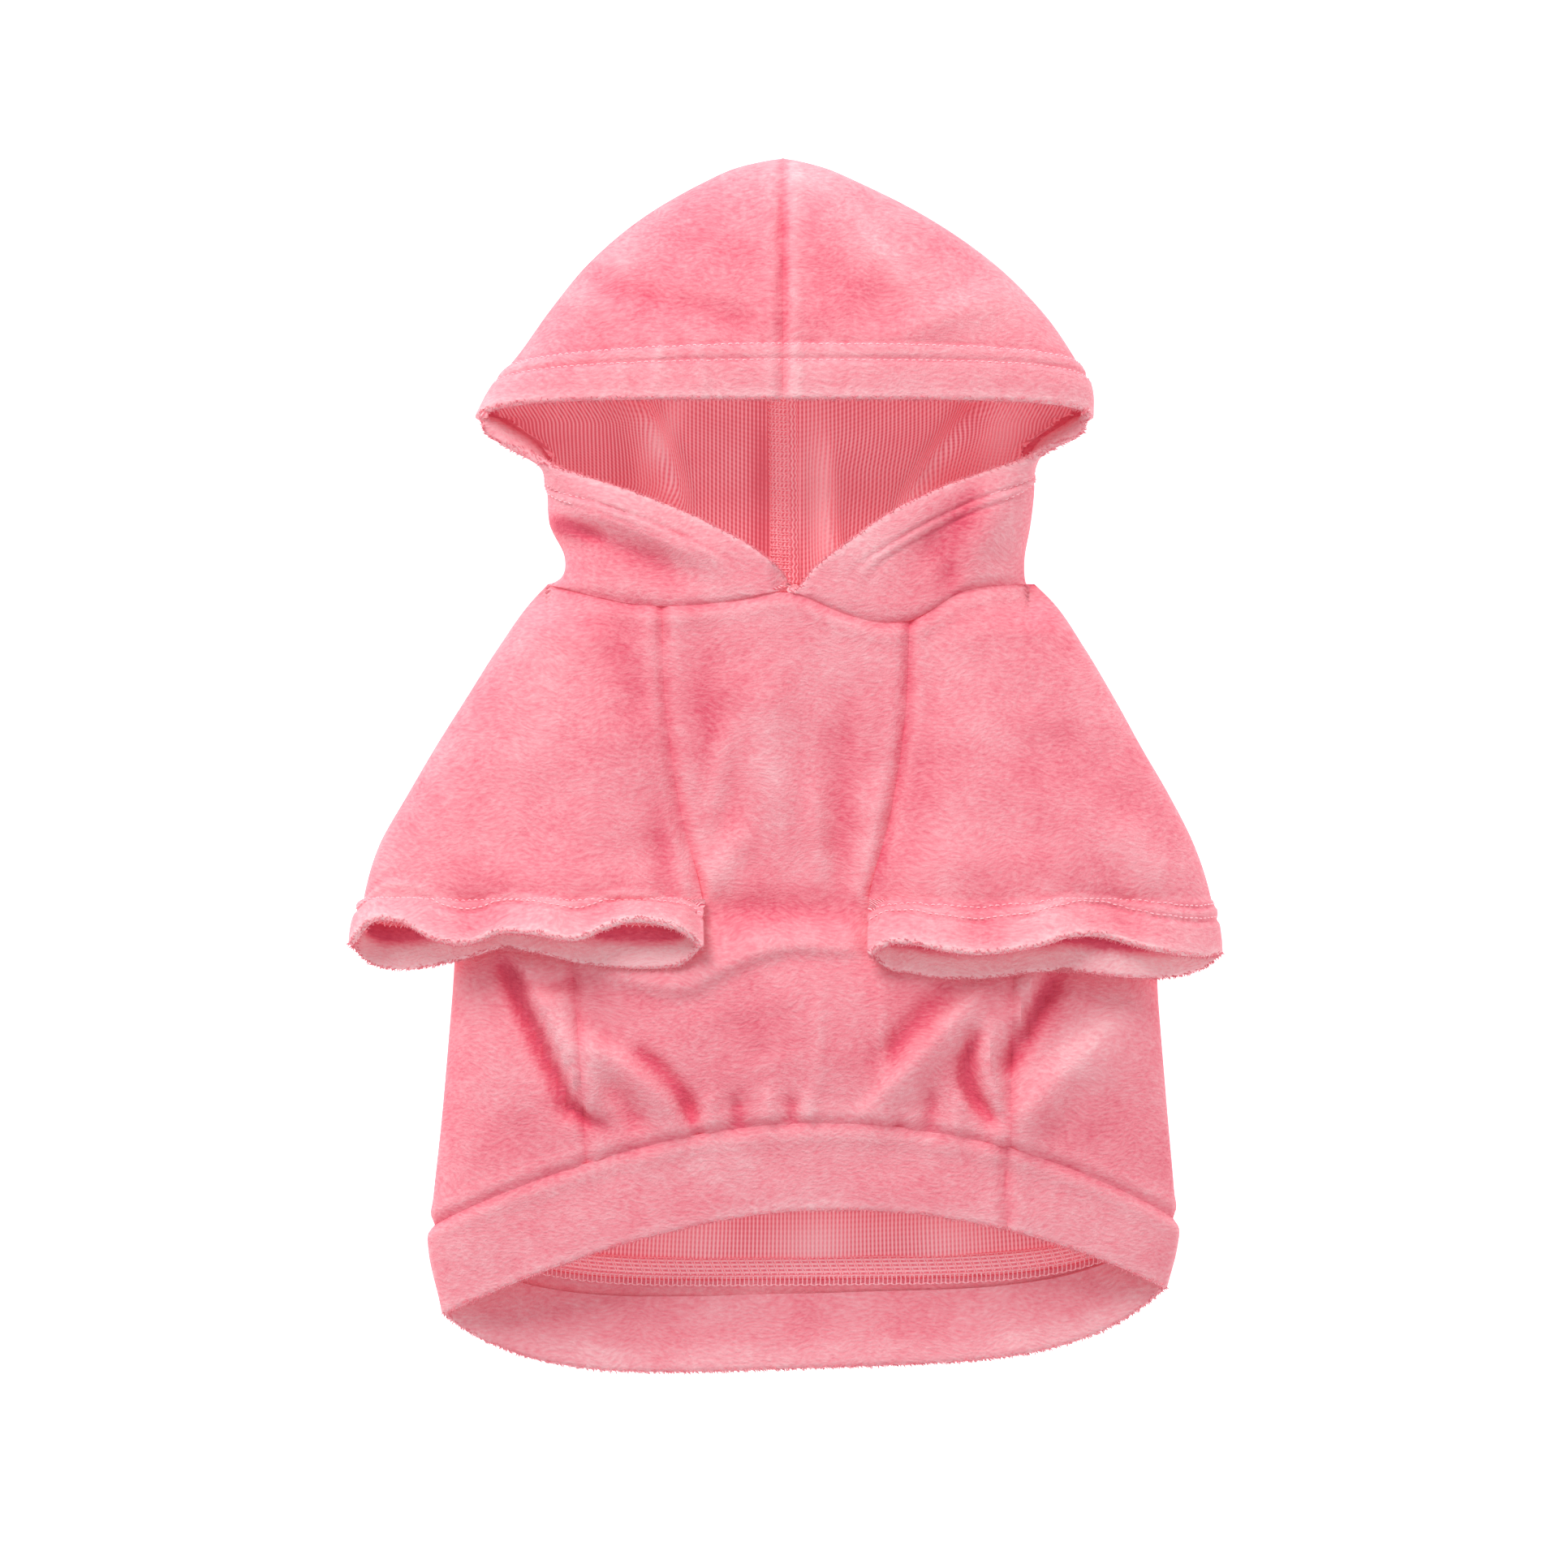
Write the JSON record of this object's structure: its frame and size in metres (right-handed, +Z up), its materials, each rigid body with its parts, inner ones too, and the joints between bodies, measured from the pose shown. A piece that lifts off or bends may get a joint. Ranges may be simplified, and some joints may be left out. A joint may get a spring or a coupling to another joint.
{
  "type": "dog hoodie",
  "caption": "Pink velour dog hoodie laid flat, belly side up, with a centre-seamed hood, crossover neck, short raglan sleeves and a folded waistband.",
  "frame": {"origin": "centre of the bounding box, at the surface that the garment lies on", "axes": "+Y from the waist to the tip of the hood, +X to the garment's right as seen from above, +Z up from the surface through the back panel to the belly side"},
  "size_m": [0.282, 0.3936, 0.0471],
  "materials": {
    "velour_pile": "short brushed pile",
    "velour_knit_back": "plain knit"
  },
  "bodies": {
    "root": {"belly_panel": "velour_pile", "back_panel": "velour_pile", "waistband": "velour_pile", "band_seam_allowance": "velour_knit_back", "sleeve_left": "velour_pile", "sleeve_right": "velour_pile", "hood_left": "velour_pile", "hood_right": "velour_pile", "hood_seam_allowance": "velour_knit_back"}
  },
  "joints": []
}
